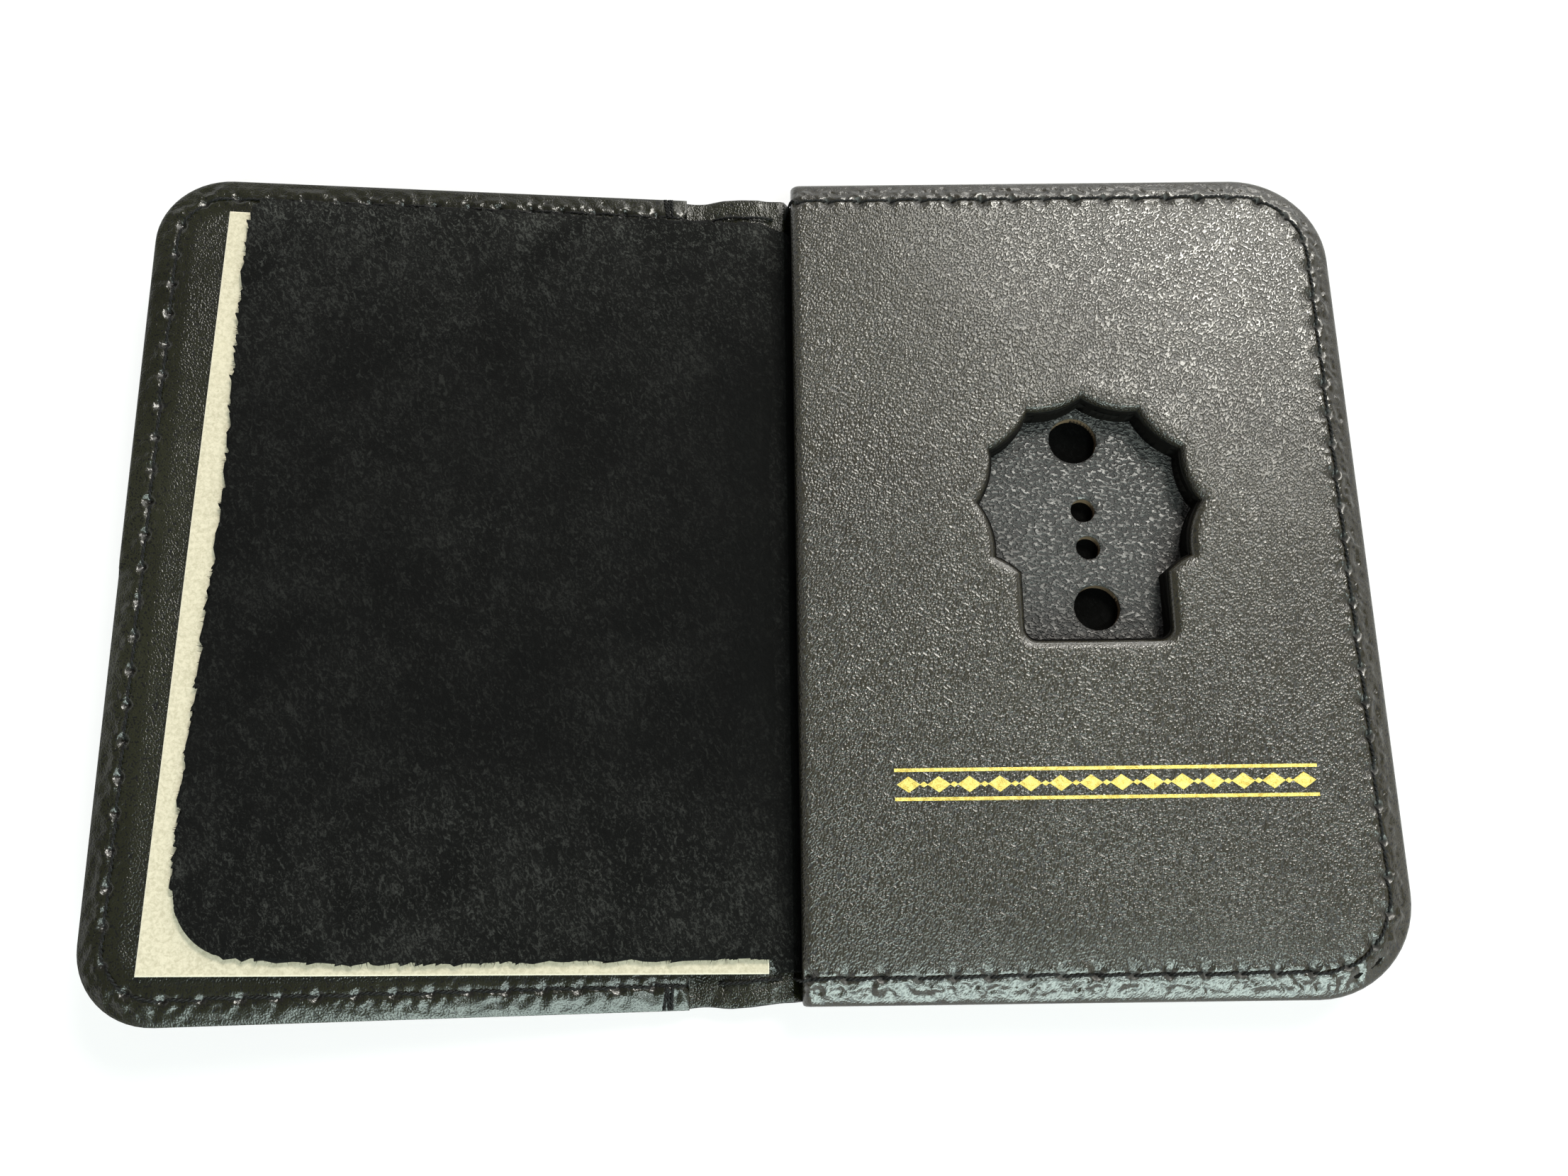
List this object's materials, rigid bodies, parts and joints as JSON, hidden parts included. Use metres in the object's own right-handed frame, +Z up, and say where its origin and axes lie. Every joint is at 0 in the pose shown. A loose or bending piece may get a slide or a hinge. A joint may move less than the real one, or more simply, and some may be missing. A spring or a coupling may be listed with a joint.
{
  "type": "id badge wallet",
  "caption": "Book-style leather badge wallet: a thick panel with a sunburst badge recess and post holes, a slip pocket, a turning suede leaf and a loose card.",
  "frame": {"origin": "middle of the open wallet, on the surface that it lies on", "axes": "+Z up out of the open wallet, +X from the card side to the badge side, +Y to the head of the covers"},
  "size_m": [0.1566, 0.1086, 0.0121],
  "materials": {
    "shell_leather": "fine-grained black leather, satin",
    "face_leather": "pebble-grained black leather with a soft sheen",
    "pocket_leather": "smooth black leather, satin",
    "black_suede": "black split suede, nap up",
    "grey_suede": "dark grey suede",
    "brown_board": "brown bonded leather board",
    "dark_board": "dark bonded leather board with dyed edges",
    "black_thread": "waxed black twisted thread",
    "cream_card": "uncoated cream card"
  },
  "bodies": {
    "badge_side": {"shell_badge_side": "shell_leather", "lining_badge_side": "pocket_leather", "leaf_tail": "black_suede", "badge_backing": "brown_board", "recess_floor": "grey_suede", "spacer_lower": "dark_board", "spacer_upper": "dark_board", "badge_face": "face_leather", "stitches_badge_side": "black_thread"},
    "spine": {"shell_spine": "shell_leather", "lining_spine": "pocket_leather", "stitches_spine": "black_thread"},
    "card_side": {"shell_card_side": "shell_leather", "lining_card_side": "pocket_leather", "pocket_panel": "pocket_leather", "stitches_card_side": "black_thread", "pocket_tacks": "black_thread"},
    "leaf": {"suede_leaf": "black_suede"},
    "card": {"loose_card": "cream_card"}
  },
  "joints": [
    {"name": "spine_fold", "type": "hinge", "parent": "badge_side", "child": "spine", "pos_m": [0.00345, 0, 0.0016], "axis": [0, 1, 0], "range_deg": [-3.25, 86.75]},
    {"name": "cover_fold", "type": "hinge", "parent": "spine", "child": "card_side", "pos_m": [-0.00594, 0, 0.00213], "axis": [0, 1, 0], "range_deg": [-3.25, 86.75]},
    {"name": "leaf_turn", "type": "hinge", "parent": "badge_side", "child": "leaf", "pos_m": [0.00445, 0, 0.0063], "axis": [0, 1, 0], "range_deg": [-6.5, 173.5]},
    {"name": "card_slide", "type": "slide", "parent": "leaf", "child": "card", "axis": [-0.9936, 0, 0.1132], "range_m": [0, 0.07]}
  ],
  "couplings": [
    {"joint": "cover_fold", "follows": "spine_fold", "ratio": 1},
    {"joint": "leaf_turn", "follows": "spine_fold", "ratio": 2}
  ]
}
